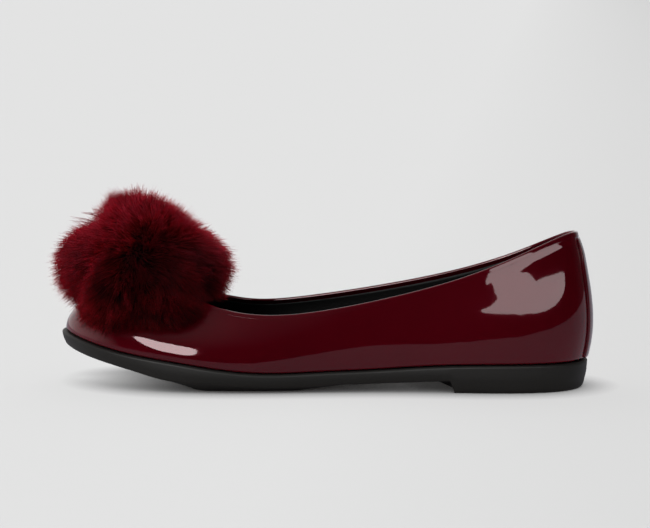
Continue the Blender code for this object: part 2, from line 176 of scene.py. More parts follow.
RIB_AT = rib_loop()
TOE_AROUND = 0.5
print("seat at the toe in mm:", np.round(RIB_AT(TOE_AROUND)[:2] * 1000, 1))

# %% The leather wall as a surface
SMALL_STEP = 1e-4
INWARD_PULL = 0.004
UPRIGHT = np.array([0.0, 0.0, 1.0])


def along_of(x):
    """Share of the shoe length from the heel at a place x."""
    return 0.5 - x / SHOE_LENGTH


def seat_height(x):
    """Height of the upper's lower edge above the floor at a place x."""
    return HEEL_HEIGHT * SEAT_HEIGHT(along_of(x))[..., 0]


def unit(vectors):
    """Scale vectors to length one."""
    return vectors / np.linalg.norm(vectors, axis=-1, keepdims=True)


def seat_outward(around):
    """Level direction out of the shoe, square to the seat line."""
    run = (RIB_AT(around + SMALL_STEP) - RIB_AT(around - SMALL_STEP))[..., :2]
    flat = np.zeros_like(run[..., 0])
    return unit(np.stack([-run[..., 1], run[..., 0], flat], axis=-1))


def wall_face(around, up):
    """Point on the upper's outer face: around the shoe, and up from the seat (0) to the topline (1)."""
    around, up = np.broadcast_arrays(np.asarray(around, dtype=float), np.asarray(up, dtype=float))
    columns = np.moveaxis(RIB_AT(around), -1, 0)[..., None]
    seat_x, seat_y, top_x, top_y, top_z, foot_lean, top_lean, foot_pull, top_pull = columns
    seat = np.concatenate([seat_x, seat_y, seat_height(seat_x)], axis=-1)
    top = np.concatenate([top_x, top_y, top_z], axis=-1)
    reach = np.linalg.norm(top - seat, axis=-1, keepdims=True)
    outward = seat_outward(around)
    inward = top - seat
    inward[..., 2] = 0
    inward = unit(inward - INWARD_PULL * outward)
    foot_hold = seat + foot_pull * reach * (np.cos(foot_lean) * UPRIGHT + np.sin(foot_lean) * outward)
    top_hold = top - top_pull * reach * (np.cos(top_lean) * UPRIGHT + np.sin(top_lean) * inward)
    u = up[..., None]
    return ((1 - u) ** 3 * seat + 3 * (1 - u) ** 2 * u * foot_hold
            + 3 * (1 - u) * u ** 2 * top_hold + u ** 3 * top)


def wall_directions(around, up):
    """Unit directions at a place on the wall: up along the rib, and straight out of the leather."""
    low = np.clip(np.asarray(up, dtype=float) - SMALL_STEP, 0, 1)
    high = np.clip(np.asarray(up, dtype=float) + SMALL_STEP, 0, 1)
    rise = unit(wall_face(around, high) - wall_face(around, low))
    run = wall_face(around + SMALL_STEP, up) - wall_face(around - SMALL_STEP, up)
    return rise, unit(np.cross(rise, run))


# %% Find the shoe's place in the frame
# The CAD part is centred on its own box, so the tables' frame is moved to where the CAD upper stands.
CAD_COLUMNS = 96
CAD_ROWS = 9
cad_around, cad_up = np.meshgrid(np.arange(CAD_COLUMNS) / CAD_COLUMNS, np.arange(CAD_ROWS + 1) / CAD_ROWS)
cad_wall = wall_face(cad_around, cad_up).reshape(-1, 3)
upper_low, upper_high = (np.array(corner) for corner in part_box("upper"))
SHIFT = ((upper_low + upper_high) - (cad_wall.min(axis=0) + cad_wall.max(axis=0))) / 2
SHIFT[2] = 0
print("shift in mm:", np.round(SHIFT * 1000, 3))

# %% [markdown]
# Most of the wall pieces are grids of points. Blender's grid primitive could be bent into place, but an array
# of points is quicker for fine grids, and it says plainly which edges join. One helper closes a grid around
# the shoe, and around a section where the piece is solid.

# %% Grids into meshes
def placed(name, data):
    """Put an object with this data into the scene."""
    thing = bpy.data.objects.new(name, data)
    bpy.context.scene.collection.objects.link(thing)
    return thing


def piece_from_grid(name, points, closed_section=True):
    """Make a mesh from rows of points around the shoe; rows go down the outside, so faces look out."""
    rows, columns = points.shape[:2]
    number = np.arange(rows * columns).reshape(rows, columns)
    below = np.roll(number, -1, axis=0) if closed_section else number[1:]
    here = number if closed_section else number[:-1]
    faces = np.stack([here, np.roll(here, -1, axis=1), np.roll(below, -1, axis=1), below], axis=-1)
    mesh = bpy.data.meshes.new(name)
    mesh.from_pydata((points.reshape(-1, 3) + SHIFT).tolist(), [], faces.reshape(-1, 4).tolist())
    mesh.shade_smooth()
    return placed(name, mesh)


def welded(piece, distance=1e-6):
    """Join points of a piece that meet, and drop its faces that have no area."""
    bm = bmesh.new()
    bm.from_mesh(piece.data)
    bmesh.ops.remove_doubles(bm, verts=bm.verts[:], dist=distance)
    bmesh.ops.dissolve_degenerate(bm, edges=bm.edges[:], dist=distance)
    bm.to_mesh(piece.data)
    bm.free()
    return piece


def middle_of(ring):
    """Line half way between the two sides of a ring that starts at the heel."""
    return (ring + np.roll(ring[::-1], 1, axis=0)) / 2


def triangles(piece):
    """Number of triangles in a finished piece."""
    return sum(len(face.vertices) - 2 for face in piece.data.polygons)


def dressed(piece, material):
    """Give a piece its material and say how many triangles it has."""
    piece.data.materials.append(material)
    print(piece.name, "triangles:", triangles(piece))
    return piece


# %% [markdown]
# Patent leather is a smooth hide under a thick clear lacquer. The colour lies deep and dark below, and the
# lacquer mirrors the studio with a slight ripple like the skin of an orange. It could be one glossy shader,
# but a dull base under a clear coat keeps the red deep where nothing bright is mirrored.

# %% Helpers for nodes, colours and materials
MIX_FACTOR, MIX_FIRST, MIX_SECOND = 0, 6, 7
NOISE_PLAIN, NOISE_MIXED, NOISE_FINE = 1, 2, 5


def fill(tree, node, values=None, links=None):
    """Set values of a node's inputs; link others to an output, or to the first in use of a source node."""
    for name, value in (values or {}).items():
        node.inputs[name].default_value = value
    for name, source in (links or {}).items():
        if isinstance(source, bpy.types.Node):
            source = next(output for output in source.outputs if output.enabled)
        tree.links.new(source, node.inputs[name])


def add_node(tree, kind, values=None, links=None, **settings):
    """Add a node, set its options and fill its inputs."""
    node = tree.nodes.new(kind)
    for name, value in settings.items():
        setattr(node, name, value)
    fill(tree, node, values, links)
    return node


def linear(hex_colour):
    """Turn an sRGB hex colour into the linear values that shaders use."""
    shares = [int(hex_colour[i:i + 2], 16) / 255 for i in (1, 3, 5)]
    return [s / 12.92 if s <= 0.04045 else ((s + 0.055) / 1.055) ** 2.4 for s in shares] + [1.0]


def new_material(name):
    """Start a material and return it with its node tree and its main shader."""
    material = bpy.data.materials.new(name)
    material.use_nodes = True
    return material, material.node_tree, material.node_tree.nodes["Principled BSDF"]


# %% Patent leather
# Lacquered hide: swells a centimetre wide where it was pulled over the last, and fine ripple in the lacquer.
PATENT_DEEP = "#650517"
PATENT_LIGHT = "#72071B"
PATENT_GLEAM = "#FF8C9A"
PATENT_CLOUD = 0.044
PATENT_SWELL = 0.011
PATENT_SWELL_DEPTH = 0.00006
PATENT_RIPPLE = 0.0016
PATENT_RIPPLE_DEPTH = 0.000004
PATENT_ROUGHNESS = 0.08
PATENT_SHINE = 0.2
LACQUER_WEIGHT = 0.8
LACQUER_ROUGHNESS = 0.03
LACQUER_IOR = 1.5


def make_patent_leather(name):
    """Deep burgundy under a clear coat that ripples a little."""
    material, tree, shader = new_material(name)
    place = add_node(tree, "ShaderNodeTexCoord").outputs["Object"]
    clouds, swell, ripple = (
        add_node(tree, "ShaderNodeTexNoise", {"Scale": 1 / size, "Detail": detail}, {"Vector": place})
        for size, detail in ((PATENT_CLOUD, NOISE_MIXED), (PATENT_SWELL, NOISE_PLAIN),
                             (PATENT_RIPPLE, NOISE_PLAIN)))
    tone = add_node(tree, "ShaderNodeMix", {MIX_FIRST: linear(PATENT_DEEP), MIX_SECOND: linear(PATENT_LIGHT)},
                    {MIX_FACTOR: clouds}, data_type="RGBA")
    broad = add_node(tree, "ShaderNodeBump", {"Distance": PATENT_SWELL_DEPTH}, {"Height": swell})
    fine = add_node(tree, "ShaderNodeBump", {"Distance": PATENT_RIPPLE_DEPTH},
                    {"Height": ripple, "Normal": broad})
    fill(tree, shader,
         {"Roughness": PATENT_ROUGHNESS, "Specular IOR Level": PATENT_SHINE,
          "Specular Tint": linear(PATENT_GLEAM), "Coat Weight": LACQUER_WEIGHT,
          "Coat Roughness": LACQUER_ROUGHNESS, "Coat IOR": LACQUER_IOR},
         {"Base Color": tone, "Normal": broad, "Coat Normal": fine})
    return material


patent_leather = make_patent_leather("burgundy_patent_leather")
print("made", patent_leather.name)

# %% [markdown]
# The upper is pulled over the last and tucked in under its lower edge, so a dark groove runs round above the
# sole. Its soft unevenness could be painted as bump, but the mirror image in the lacquer would not follow it
# from all sides, so the few swells that show are listed as real form: where the stiff heel counter ends,
# and where the vamp will bend.

# %% Soft swells of the leather
Swell = namedtuple("Swell", "around up length height depth slant")
LEATHER_SWELLS = [
    Swell(0.118, 0.86, 0.020, 0.16, -0.00022, 0.25),
    Swell(0.130, 0.74, 0.016, 0.12, 0.00016, 0.20),
    Swell(0.150, 0.45, 0.014, 0.45, -0.00014, 0.00),
    Swell(0.300, 0.62, 0.020, 0.30, -0.00016, -0.20),
    Swell(0.335, 0.50, 0.018, 0.30, 0.00012, -0.20),
    Swell(0.850, 0.45, 0.014, 0.45, -0.00014, 0.00),
    Swell(0.690, 0.62, 0.020, 0.30, -0.00016, 0.20),
]
print("swells set by hand:", len(LEATHER_SWELLS))

# %% Upper edge of the heel counter
COUNTER_DROP = 0.0046
COUNTER_SOFTNESS = 0.0016
COUNTER_STEP = 0.0003
COUNTER_ROUND = 0.014
COUNTER_TURN = 3.9
COUNTER_FRONT = 0.175
COUNTER_FADE = 0.012
COLLAR_FLARE = 0.04


def counter_step(around, up):
    """The heel counter rounds in to its upper edge; the collar above it is a step lower and flares."""
    place = wall_face(around, up)
    drop = np.linalg.norm(wall_face(around, np.ones_like(place[..., 0])) - place, axis=-1)
    above = 0.5 - 0.5 * np.tanh((drop - COUNTER_DROP) / COUNTER_SOFTNESS)
    behind = 0.5 - 0.5 * np.tanh((along_of(place[..., 0]) - COUNTER_FRONT) / COUNTER_FADE)
    flare = COLLAR_FLARE * np.clip(COUNTER_DROP - drop, 0, None)
    rounded = np.clip(COUNTER_ROUND - np.maximum(drop, COUNTER_DROP), 0, None)
    return (flare - COUNTER_STEP * above - COUNTER_TURN * rounded ** 2) * behind


def swell_height(around, up):
    """How far the leather stands out of, or lies in, the last's smooth form."""
    height = counter_step(around, up)
    for swell in LEATHER_SWELLS:
        rise = up - swell.up
        aside = around - swell.around - swell.slant * swell.length * rise / swell.height
        height += swell.depth * np.exp(-(aside / swell.length) ** 2 - (rise / swell.height) ** 2)
    return height


# %% Upper leather
LEATHER_THICKNESS = 0.0010
TUCK_ROUND = 0.0011
FINE_COLUMNS = 480
FINE_ROWS = 64
INNER_ROWS = 24
ROW_CROWDING = 0.9
EDGE_SUPPORT = 0.002


def tuck(around, up):
    """How far the leather is drawn in near its lower edge, where it turns under the last."""
    height = wall_face(around, up)[..., 2] - wall_face(around, np.zeros_like(up))[..., 2]
    left = np.clip(TUCK_ROUND - height, 0, TUCK_ROUND)
    return TUCK_ROUND - np.sqrt(TUCK_ROUND ** 2 - left ** 2)


def wall_layer(up, offset, columns=FINE_COLUMNS):
    """Rows of points on a layer of the wall, at an offset out of the leather's outer face."""
    around, up = np.meshgrid(np.arange(columns) / columns, up)
    out = wall_directions(around, up)[1]
    depth = offset + swell_height(around, up) - tuck(around, up)
    return wall_face(around, up) + depth[..., None] * out


outer_rows = 1 - np.linspace(0, 1, FINE_ROWS + 1) ** ROW_CROWDING
outer_rows = np.insert(outer_rows, [1, FINE_ROWS], [1 - EDGE_SUPPORT, EDGE_SUPPORT])
inner_rows = np.linspace(0, 1, INNER_ROWS + 1)
upper_leather = dressed(piece_from_grid("upper_leather", np.concatenate(
    [wall_layer(outer_rows, 0.0), wall_layer(inner_rows, -LEATHER_THICKNESS)])), patent_leather)

# %% [markdown]
# Inside, the upper is lined with thin black leather that ends under the rolled topline. It is a second layer
# on the same ribs, because the lining of a real shoe is cut and glued to the same shape.

# %% Black lining leather
# Drummed lining hide: a matt black with a fine pebbled grain, drawn about a millimetre wide so that it shows.
LINING_DARK = "#080606"
LINING_LIGHT = "#0F0D0C"
LINING_GRAIN = 0.0011
LINING_GRAIN_DEPTH = 0.00007
LINING_ROUGHNESS = 0.55
LINING_SHINE = 0.2


def make_lining_leather(name):
    """Matt black leather with a fine pebbled grain."""
    material, tree, shader = new_material(name)
    place = add_node(tree, "ShaderNodeTexCoord").outputs["Object"]
    pebbles = add_node(tree, "ShaderNodeTexVoronoi", {"Scale": 1 / LINING_GRAIN}, {"Vector": place})
    tone = add_node(tree, "ShaderNodeMix", {MIX_FIRST: linear(LINING_DARK), MIX_SECOND: linear(LINING_LIGHT)},
                    {MIX_FACTOR: pebbles}, data_type="RGBA")
    grain = add_node(tree, "ShaderNodeBump", {"Distance": LINING_GRAIN_DEPTH}, {"Height": pebbles},
                     invert=True)
    fill(tree, shader, {"Roughness": LINING_ROUGHNESS, "Specular IOR Level": LINING_SHINE},
         {"Base Color": tone, "Normal": grain})
    return material


lining_leather = make_lining_leather("black_lining_leather")
LINING_COLUMNS = 320
LINING_GAP = 0.00003
lining_out = wall_layer(np.linspace(1, 0, INNER_ROWS + 1), -LEATHER_THICKNESS - LINING_GAP, LINING_COLUMNS)
lining_in = wall_layer(np.linspace(0, 1, INNER_ROWS + 1), -WALL, LINING_COLUMNS)
upper_lining = piece_from_grid("upper_lining", np.concatenate([lining_out, lining_in]))
dressed(upper_lining, lining_leather)

# %% [markdown]
# The topline is a strip of the same leather rolled over the edge. A bevelled curve would make a round cord,
# but the real edge is flat-sided and only its top is round, so a small section is carried along the ribs.

# %% Rolled topline
BINDING_RADIUS = 0.0010
BINDING_HALF_WIDTH = 0.00088
BINDING_LAP = 0.00025
BINDING_SIDE = 0.00004
BINDING_SUPPORT = 0.00004
BINDING_STEPS = 14


def binding_section():
    """Out and rise of the rolled edge's section, measured from the wall's outer face and its top."""
    middle = -WALL / 2
    top = BINDING_RADIUS + PIECE_GAP
    turn = np.linspace(math.pi, 0, BINDING_STEPS + 1)
    out = middle + BINDING_HALF_WIDTH * np.cos(turn)
    rise = top + BINDING_RADIUS * np.sin(turn)
    inner_side = [[-WALL - BINDING_SIDE, -BINDING_LAP + lift] for lift in (0, BINDING_SUPPORT)]
    outer_side = [[BINDING_SIDE, -BINDING_LAP + lift] for lift in (BINDING_SUPPORT, 0)]
    return np.array(inner_side + list(zip(out, rise)) + outer_side)


fine_around = np.arange(FINE_COLUMNS) / FINE_COLUMNS
edge_rise, edge_out = wall_directions(fine_around, np.ones(FINE_COLUMNS))
edge = wall_face(fine_around, 1.0) + swell_height(fine_around, 1.0)[:, None] * edge_out
binding_rows = [edge + out * edge_out + rise * edge_rise for out, rise in binding_section()]
topline_binding = dressed(piece_from_grid("rolled_topline", np.stack(binding_rows)), patent_leather)

# %% [markdown]
# A narrow strip covers the seam at the heel. It is cut from the same ribs, laid on the upper's face, and its
# edges are rounded over by a short run of points at each side.

# %% Back strip
STRIP_WIDTH = 0.016
STRIP_THICKNESS = 0.0008
STRIP_FOOT = 0.02
STRIP_TOP = 0.985
STRIP_TAPER = 0.16
STRIP_EDGE = 6
STRIP_COLUMNS = 40
STRIP_ROWS = 90
SEAT_SAMPLES = 4001

seat_line = RIB_AT(np.linspace(0, 1, SEAT_SAMPLES))[:, :2]
SEAT_LENGTH = np.linalg.norm(np.diff(seat_line, axis=0), axis=1).sum()
STRIP_SHARE = STRIP_WIDTH / SEAT_LENGTH


def strip_point(across, up, offset):
    """Point on the strip: across from -1 to 1, up from 0 to 1, at an offset from the leather."""
    around = across * STRIP_SHARE / 2
    high = STRIP_FOOT + (STRIP_TOP - STRIP_FOOT) * up
    out = wall_directions(around, high)[1]
    return wall_face(around, high) + np.asarray(offset)[..., None] * out


def make_back_strip():
    """Closed strip with rounded long edges that thins out under the topline: front face, then its back."""
    turn = np.linspace(-1, 1, STRIP_COLUMNS + 1)
    across, up = np.meshgrid(np.sin(turn * math.pi / 2), np.linspace(1, 0, STRIP_ROWS + 1))
    full = np.sin(np.clip((1 - up) / STRIP_TAPER, 0, 1) * math.pi / 2)
    crown = (PIECE_GAP + STRIP_THICKNESS * np.sqrt(1 - np.abs(turn) ** STRIP_EDGE)) * full
    front = strip_point(across, up, crown)
    behind = strip_point(across, up, np.full(across.shape, -LEATHER_THICKNESS / 2))
    ring = np.concatenate([front, behind[:, ::-1]], axis=1)
    top_cap, foot_cap = (np.concatenate([line, line[::-1]])[None] for line in (behind[0], behind[-1]))
    return piece_from_grid("heel_strip", np.concatenate([top_cap, ring, foot_cap]), closed_section=False)


back_strip = dressed(make_back_strip(), patent_leather)

# %% [markdown]
# The sole is one moulding of black rubber. Its outline follows the seat, with a thin rim that stands out past
# the leather, a low heel with a step in front of it, a lifted waist and a toe that springs up. Its outlines
# are carried over from the part, with more points and with rounded corners between them.

# %% Moulded sole
Sole = namedtuple("Sole", "along ledge edge tuck")
SOLE_SECTIONS = [
    Sole(0.24, 0.0010, 0.0063, 0.0008),
    Sole(0.40, 0.0010, 0.0047, 0.0008),
    Sole(0.48, 0.0010, 0.0038, 0.0008),
    Sole(0.62, 0.0010, 0.0033, 0.0008),
    Sole(0.70, 0.0010, 0.0045, 0.0008),
    Sole(0.78, 0.0010, 0.0056, 0.0009),
    Sole(0.85, 0.0012, 0.0098, 0.0011),
    Sole(0.93, 0.0015, 0.0141, 0.0014),
    Sole(1.00, 0.0018, 0.0178, 0.0018),
]
SOLE_RIM_ROUND = 0.0008
HEEL_EDGE = 0.0009
HEEL_TUCK = 0.0019
Stretch = namedtuple("Stretch", "name columns lateral_from lateral_to medial_from medial_to "
                                "rise_from rise_to inset_from inset_to")
STRETCHES = [
    Stretch("heel", 96, 0.000, 0.252, 0.000, 0.300, 0.0, 0.0, 0.0030, 0.0030),
    Stretch("waist", 42, 0.260, 0.438, 0.308, 0.458, 0.0100, 0.0100, 0.0026, 0.0026),
    Stretch("arch", 24, 0.442, 0.540, 0.462, 0.560, 0.0038, 0.0001, 0.0034, 0.0082),
    Stretch("ball", 50, 0.546, 0.706, 0.566, 0.716, 0.0, 0.0, 0.0085, 0.0085),
    Stretch("first bend", 6, 0.710, 0.726, 0.720, 0.736, 0.00005, 0.0005, 0.0085, 0.0084),
    Stretch("second bend", 6, 0.730, 0.746, 0.740, 0.756, 0.0007, 0.0020, 0.0083, 0.0079),
    Stretch("roll", 36, 0.750, 0.860, 0.760, 0.870, 0.0024, 0.0104, 0.0078, 0.0032),
    Stretch("toe", 64, 0.864, 1.000, 0.874, 1.000, 0.0300, 0.0300, 0.0030, 0.0030),
]
UNDERSIDE_ROUND = 0.0007
SOLE_BULGE = 0.0005
SOLE_TOP_INSIDE = 0.004
SOLE_PAD_INSIDE = 0.014
SOLE_AT = spline_through([row.along for row in SOLE_SECTIONS], [list(row[1:]) for row in SOLE_SECTIONS])
print("sole edge at the toe in mm:", round(float(SOLE_AT(1.0)[1]) * 1000, 1))


# %% Outlines of the sole
Bend = namedtuple("Bend", "name reach steps")
SOLE_BENDS = [
    Bend("rim top", 0.00045, 4),
    Bend("rim side", 0.00045, 4),
    Bend("side wall's middle", 0.00150, 8),
    Bend("side wall's foot", 0.00090, 6),
    Bend("pad edge", 0.00045, 4),
]


def side_places(side):
    """Places along one side of the sole from heel to toe, each with its rise, its inset and 1 on the heel."""
    dense = np.linspace(0, 0.5, SEAT_SAMPLES)
    along = along_of(RIB_AT(side * dense)[:, 0])
    columns = []
    for stretch in STRETCHES:
        lateral = stretch.lateral_from, stretch.lateral_to
        medial = stretch.medial_from, stretch.medial_to
        first, last = np.interp(lateral if side > 0 else medial, along, dense)
        heel = stretch.name == "heel"
        columns.append(np.linspace([first, stretch.rise_from, stretch.inset_from, heel],
                                   [last, stretch.rise_to, stretch.inset_to, heel], stretch.columns + 1))
    columns = np.concatenate(columns)
    columns[0, 0] = 0.0
    columns[-1, 0] = 0.5
    return columns


def rounded(corner_before, corner, corner_after, reach, steps):
    """Rings that turn softly past a corner ring, starting and ending at a reach from it."""
    start = corner + unit(corner_before - corner) * reach
    end = corner + unit(corner_after - corner) * reach
    shares = np.linspace(0, 1, steps + 1)[:, None, None]
    return list((1 - shares) ** 2 * start + 2 * (1 - shares) * shares * corner + shares ** 2 * end)


def sole_rings():
    """Outlines of the sole from the middle of its top, over rim and side wall, to the middle below."""
    lateral = side_places(1)
    medial = side_places(-1)[-2:0:-1]
    medial[:, 0] = 1 - medial[:, 0]
    around, rise, inset, heel = np.concatenate([lateral, medial]).T
    seat = RIB_AT(around)[:, :2]
    outward = seat_outward(around)[:, :2]
    along = np.clip(along_of(seat[:, 0]), SOLE_SECTIONS[0].along, 1)
    ledge, edge, tucked = SOLE_AT(along).T
    edge = np.where(heel, HEEL_EDGE, edge)
    tucked = np.where(heel, HEEL_TUCK, tucked)
    underside = np.minimum(rise, edge - UNDERSIDE_ROUND)
    top = seat_height(seat[:, 0]) - PIECE_GAP

    def ring(offset, height):
        return np.column_stack([seat + outward * offset[:, None], height])

    corners = [ring(ledge - SOLE_TOP_INSIDE, top), ring(ledge - SOLE_RIM_ROUND, top),
               ring(ledge, top - SOLE_RIM_ROUND), ring(ledge - tucked / 2 + SOLE_BULGE, (top + edge) / 2),
               ring(ledge - tucked, edge), ring(ledge - inset, underside),
               ring(ledge - SOLE_PAD_INSIDE, underside)]
    rings = [corners[0]]
    for bend, before, corner, after in zip(SOLE_BENDS, corners, corners[1:], corners[2:]):
        rings.extend(rounded(before, corner, after, bend.reach, bend.steps))
    rings.append(corners[-1])
    return np.stack([middle_of(rings[0])] + rings + [middle_of(rings[-1])])


rubber_sole = welded(piece_from_grid("rubber_sole", sole_rings(), closed_section=False))
print("points on the sole:", len(rubber_sole.data.vertices))

# %% [markdown]
# Moulded rubber takes the fine spark grain of its steel mould, and low down it is paler in patches: grey dust
# where it rubs, and a painted sheen of light along the lower edge. The grain could be real relief, but it is
# less than a tenth of a millimetre deep, so bump is enough. The dust and the painted sheen follow the height
# over the floor.

# %% Black sole rubber
# Moulded rubber: a soft black sheen, a grain of half a millimetre and a paler lower edge of dust and painted
# sheen.
RUBBER_DARK = "#302E2B"
RUBBER_DUST_AND_SHEEN = "#3C3936"
RUBBER_PATCH = 0.012
RUBBER_GRAIN = 0.0005
RUBBER_GRAIN_DEPTH = 0.00004
DUST_AND_SHEEN_HEIGHT = 0.006
RUBBER_ROUGHNESS = 0.48
RUBBER_SHINE = 0.3


def make_sole_rubber(name):
    """Satin black rubber with a moulded grain and a paler lower edge of dust and painted sheen."""
    material, tree, shader = new_material(name)
    place = add_node(tree, "ShaderNodeTexCoord").outputs["Object"]
    height = add_node(tree, "ShaderNodeSeparateXYZ", links={"Vector": place}).outputs["Z"]
    patches = add_node(tree, "ShaderNodeTexNoise", {"Scale": 1 / RUBBER_PATCH, "Detail": NOISE_FINE},
                       {"Vector": place})
    # paler in patches near the floor: grey dust, and a painted sheen of light on the lower edge
    low = add_node(tree, "ShaderNodeMapRange", {"From Min": DUST_AND_SHEEN_HEIGHT, "From Max": 0.0},
                   {"Value": height})
    dust_and_sheen = add_node(tree, "ShaderNodeMath", links={0: low, 1: patches}, operation="MULTIPLY")
    tone = add_node(tree, "ShaderNodeMix",
                    {MIX_FIRST: linear(RUBBER_DARK), MIX_SECOND: linear(RUBBER_DUST_AND_SHEEN)},
                    {MIX_FACTOR: dust_and_sheen}, data_type="RGBA")
    grain = add_node(tree, "ShaderNodeTexNoise", {"Scale": 1 / RUBBER_GRAIN, "Detail": NOISE_MIXED},
                     {"Vector": place})
    relief = add_node(tree, "ShaderNodeBump", {"Distance": RUBBER_GRAIN_DEPTH}, {"Height": grain})
    fill(tree, shader, {"Roughness": RUBBER_ROUGHNESS, "Specular IOR Level": RUBBER_SHINE},
         {"Base Color": tone, "Normal": relief})
    return material


dressed(rubber_sole, make_sole_rubber("black_sole_rubber"))

# %% [markdown]
# The sock is the black leather that lies under the foot. It is a thin cushion: full in the middle and turned
# down at the edge, so its top is raised a little along the middle line.

# %% Sock
INSOLE_THICKNESS = 0.0022
INSOLE_CLEARANCE = 0.0005
SOCK_ROWS = 10
SOCK_EDGE_ROUND = 0.0012


def sock_layers():
    """Outlines of the sock from the middle of its top, over its rounded edge, to the middle below."""
    seat = RIB_AT(fine_around)[:, :2]
    inside = seat - seat_outward(fine_around)[:, :2] * (WALL + INSOLE_CLEARANCE)
    middle = middle_of(inside)
    turn = np.linspace(0, 1, SOCK_ROWS + 1)
    layers = []
    for share in np.sin(turn * math.pi / 2):
        flat = middle + (inside - middle) * share
        gap = np.linalg.norm(inside - flat, axis=1)
        drop = np.clip(SOCK_EDGE_ROUND - gap, 0, None) ** 2 / (2 * SOCK_EDGE_ROUND)
        layers.append(np.column_stack([flat, seat_height(flat[:, 0]) + INSOLE_THICKNESS - drop]))
    layers.append(np.column_stack([inside, seat_height(inside[:, 0])]))
    layers.append(np.column_stack([middle, seat_height(middle[:, 0])]))
    return np.stack(layers)


leather_sock = welded(piece_from_grid("leather_sock", sock_layers(), closed_section=False))
dressed(leather_sock, lining_leather)

# %% [markdown]
# The pompom is a ball of dyed fur. A solid ball with a fur texture would have a hard outline, so it is made
# of hairs. They grow from a core that has the lobed shape of the CAD ball and is dark with painted shade.
# Core
# and hairs keep clear of the vamp: whatever would reach into the shoe is moved out to the leather's face.

# %% Lobed shape of the pompom
POMPOM_ALONG = 0.846
POMPOM_ACROSS = 0.001
POMPOM_HEIGHT = 0.0557
POMPOM_CENTRE = np.array([SHOE_LENGTH * (0.5 - POMPOM_ALONG), POMPOM_ACROSS, POMPOM_HEIGHT]) + SHIFT
Lobe = namedtuple("Lobe", "along across up radius")
POMPOM_LOBES = [
    Lobe(0.000, 0.000, 0.000, 0.0325),
    Lobe(-0.0215, 0.000, -0.001, 0.0205),
    Lobe(0.0225, 0.000, -0.003, 0.0205),
    Lobe(-0.006, 0.000, 0.0150, 0.0195),
    Lobe(0.014, -0.018, -0.0165, 0.0200),
    Lobe(-0.009, -0.020, -0.0140, 0.0185),
    Lobe(0.014, 0.018, -0.0165, 0.0200),
    Lobe(-0.009, 0.020, -0.0140, 0.0185),
]
LOBE_BLEND = 0.0022
Parting = namedtuple("Parting", "along across up depth width")
POMPOM_PARTINGS = [
    Parting(-0.715, -0.10, 0.69, 0.0085, 0.22),
    Parting(0.80, -0.10, 0.60, 0.0015, 0.20),
]


def pompom_reach(directions):
    """Distance from the pompom's centre to its surface, along unit directions."""
    exits = []
    for lobe in POMPOM_LOBES:
        centre = np.array(lobe[:3])
        ahead = directions @ centre
        inside = ahead ** 2 - centre @ centre + lobe.radius ** 2
        exits.append(ahead + np.sqrt(np.maximum(inside, 0)))
    reach = LOBE_BLEND * np.log(np.exp(np.array(exits) / LOBE_BLEND).sum(axis=0))
    for parting in POMPOM_PARTINGS:
        away = np.arccos(np.clip(directions @ unit(np.array(parting[:3])), -1, 1))
        reach -= parting.depth * np.exp(-(away / parting.width) ** 2)
    return reach


# %% Filled form of the shoe that fur lies on
def filled_upper():
    """Search tree of the upper's outer face with a lid across the topline."""
    lid_rise = 2 * (BINDING_RADIUS + PIECE_GAP)
    lid = wall_face(fine_around, 1.0) + edge_rise * lid_rise
    rows = [middle_of(lid), lid]
    rows += [wall_face(fine_around, np.full(FINE_COLUMNS, up)) for up in np.linspace(1, 0, INNER_ROWS + 1)]
    form = welded(piece_from_grid("filled_upper", np.stack(rows), closed_section=False))
    points = [vert.co.copy() for vert in form.data.vertices]
    tree = BVHTree.FromPolygons(points, [face.vertices[:] for face in form.data.polygons])
    bpy.data.objects.remove(form)
    return tree


shoe_form = filled_upper()


def lifted_off_shoe(points, clearance):
    """Move points that lie inside the shoe, or too near it, out to a clearance from its face."""
    moved = points.copy()
    deep = np.zeros(len(points), dtype=bool)
    for i, point in enumerate(points):
        spot, normal = shoe_form.find_nearest(Vector(point))[:2]
        height = (Vector(point) - spot).dot(normal)
        if height < clearance[i]:
            moved[i] = spot + normal * clearance[i]
            deep[i] = True
    return moved, deep


# %% Core of the pompom
CORE_DEPTH = 0.0085
CORE_DIVISIONS = 6
CORE_CLEARANCE = 0.0004


def make_core():
    """Lobed ball under the hairs, pushed up where the vamp is."""
    bm = bmesh.new()
    bmesh.ops.create_icosphere(bm, subdivisions=CORE_DIVISIONS, radius=1.0)
    ways = unit(np.array([vert.co for vert in bm.verts]))
    points = POMPOM_CENTRE + ways * (pompom_reach(ways) - CORE_DEPTH)[:, None]
    points, deep = lifted_off_shoe(points, np.full(len(points), CORE_CLEARANCE))
    for vert, point in zip(bm.verts, points):
        vert.co = point
    mesh = bpy.data.meshes.new("pompom_core")
    bm.to_mesh(mesh)
    bm.free()
    mesh.shade_smooth()
    return placed("pompom_core", mesh), ways, points, deep


pompom_core, core_ways, core_points, core_deep = make_core()
print("points of the core on the vamp:", int(core_deep.sum()))

# %% [markdown]
# Each hair needs a root, a tip and a bend. Roots and lengths could be random alone, but real fur falls into
# locks: neighbouring hairs lean together at their tips, and whole tufts swirl one way. So each point of the
# core is given the way to its tip, drawn towards the tip of the nearest of a few hundred locks and leaned by
# a few broad waves, and the hairs take it from there.

# %% Locks
LOCKS = 520
LOCK_PULL = 0.25
LOCK_LENGTH_SPREAD = 0.0016
HAIR_PAST_SURFACE = 0.0010
HAIR_DROOP = 0.0016
HAIR_CLEARANCE = 0.0007
LOCK_SEED = 11
SWIRLS = 7
SWIRL_WIDTH = 0.030
SWIRL_REACH = 0.0016


